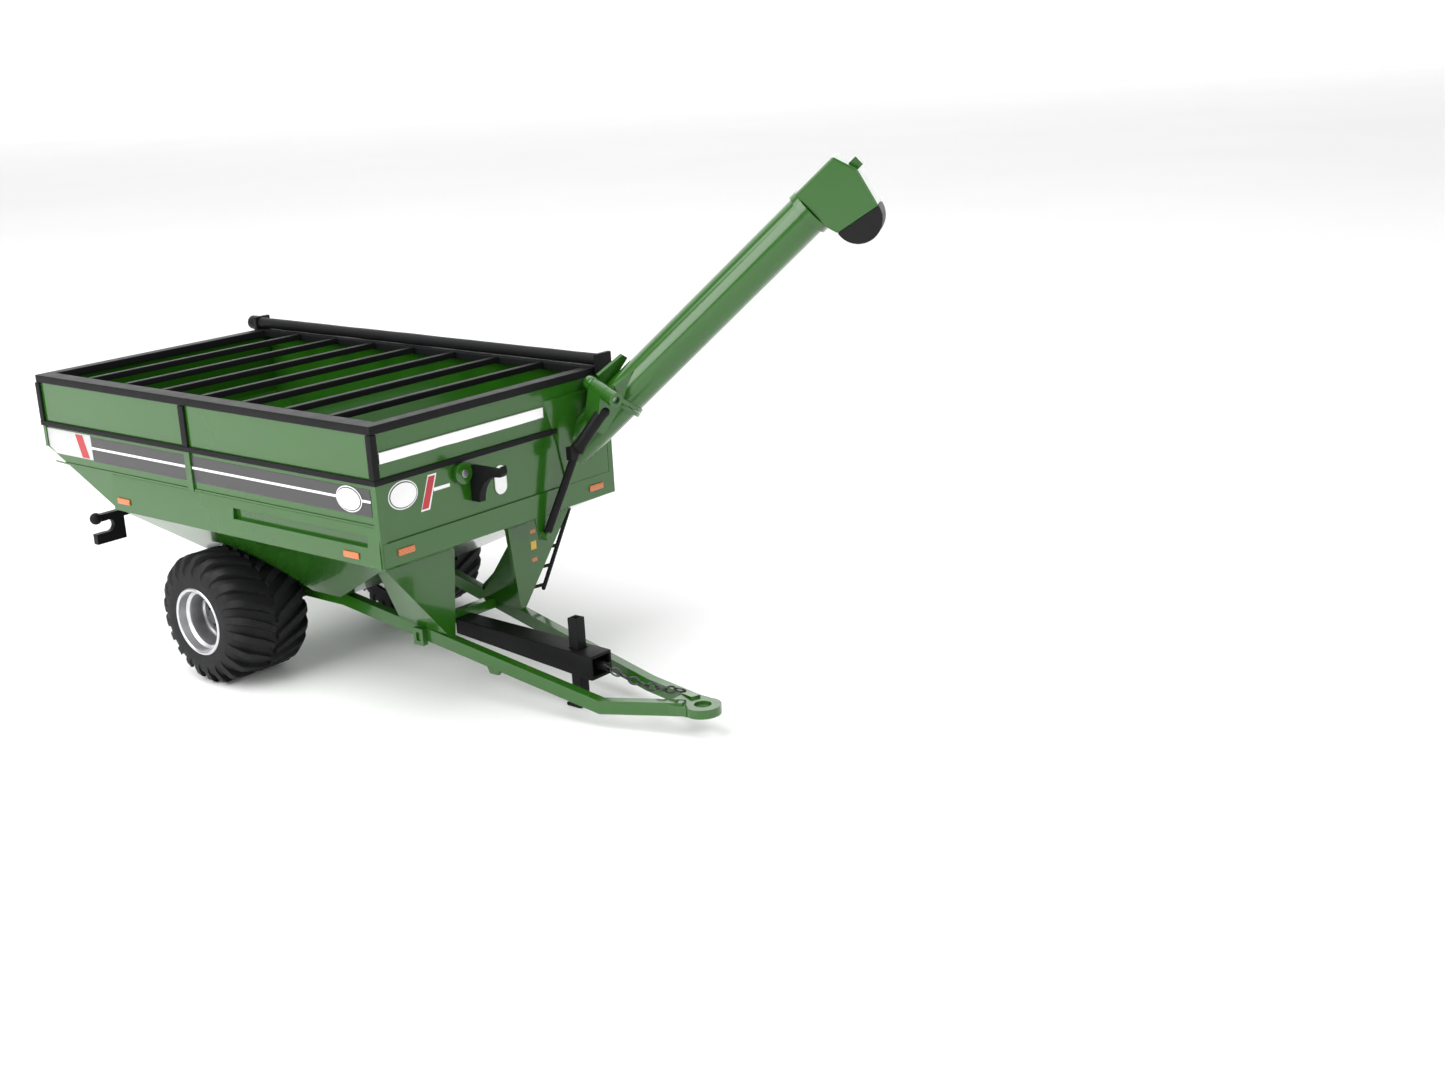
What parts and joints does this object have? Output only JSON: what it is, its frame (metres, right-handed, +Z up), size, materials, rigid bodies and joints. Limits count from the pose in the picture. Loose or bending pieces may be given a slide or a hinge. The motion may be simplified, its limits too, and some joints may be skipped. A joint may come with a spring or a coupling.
{
  "type": "grain cart scale model",
  "caption": "Toy-size green grain cart: hopper tub with tarp bows on two wide tyres, folding side auger with hood, drawbar frame, jack and hitch eye.",
  "frame": {"origin": "middle of the hitch eye, half way through the hitch plate", "axes": "+Z up along the hitch eye, +Y towards the rear of the cart, +X towards the auger side"},
  "size_m": [0.0843, 0.1555, 0.0925],
  "materials": {
    "green_paint": "gloss enamel",
    "black_trim": "satin",
    "tarp_vinyl": "satin vinyl",
    "bright_strip": "bright",
    "white_window": "gloss",
    "wheel_silver": "satin silver paint",
    "steel": "satin",
    "disc_grey": "satin",
    "tyre_rubber": "matt moulded rubber",
    "spout_rubber": "satin rubber",
    "amber_marker": "gloss"
  },
  "bodies": {
    "cart": {"tub": "green_paint", "hopper": "green_paint", "rim_cap": "black_trim", "bow_1": "black_trim", "bow_2": "black_trim", "bow_3": "black_trim", "bow_4": "black_trim", "bow_5": "black_trim", "bow_6": "black_trim", "bow_7": "black_trim", "tarp_roll": "tarp_vinyl", "tarp_end_caps": "black_trim", "tarp_knob": "black_trim", "belt_rib": "black_trim", "corner_posts": "black_trim", "side_posts": "black_trim", "reflective_strip": "bright_strip", "sight_window": "white_window", "rest_bracket": "black_trim", "bracket_boss": "green_paint", "bracket_rivet": "steel", "auger_housing": "green_paint", "lower_auger_tube": "green_paint", "hinge_pin": "steel", "strut_foot": "green_paint", "strut_rod": "black_trim", "strut_barrel": "black_trim", "ladder": "black_trim", "leg_left": "green_paint", "leg_right": "green_paint", "frame_rail_left": "green_paint", "frame_rail_right": "green_paint", "cross_member": "green_paint", "hitch_plate": "green_paint", "rail_clamps": "green_paint", "rail_tabs": "green_paint", "axle_beam": "green_paint", "axle": "steel", "tongue_box": "black_trim", "pto_stub": "black_trim", "safety_chain": "steel", "rear_bracket": "green_paint", "rear_hitch": "black_trim", "reflectors": "amber_marker"},
    "folding_auger": {"upper_auger_tube": "green_paint", "discharge_hood": "green_paint", "hood_lug": "green_paint", "spout": "spout_rubber"},
    "wheel_left": {"wheel_rim_left": "wheel_silver", "tyre_left": "tyre_rubber", "hub_disc_left": "disc_grey"},
    "wheel_right": {"wheel_rim_right": "wheel_silver", "tyre_right": "tyre_rubber", "hub_disc_right": "disc_grey"},
    "jack": {"jack_post": "black_trim", "jack_foot": "black_trim"}
  },
  "joints": [
    {"name": "auger_fold", "type": "hinge", "parent": "cart", "child": "folding_auger", "pos_m": [0.0212, 0.0385, 0.047], "axis": [-0.286, -0.9354, -0.2079], "range_deg": [0, 138]},
    {"name": "wheel_left_spin", "type": "hinge", "parent": "cart", "child": "wheel_left", "pos_m": [0.02265, 0.0967, 0.0076], "axis": [1, 0, 0], "continuous": true},
    {"name": "wheel_right_spin", "type": "hinge", "parent": "cart", "child": "wheel_right", "pos_m": [-0.02265, 0.0967, 0.0076], "axis": [1, 0, 0], "continuous": true},
    {"name": "jack_slide", "type": "slide", "parent": "cart", "child": "jack", "axis": [0, 0, 1], "range_m": [0, 0.0048]}
  ]
}
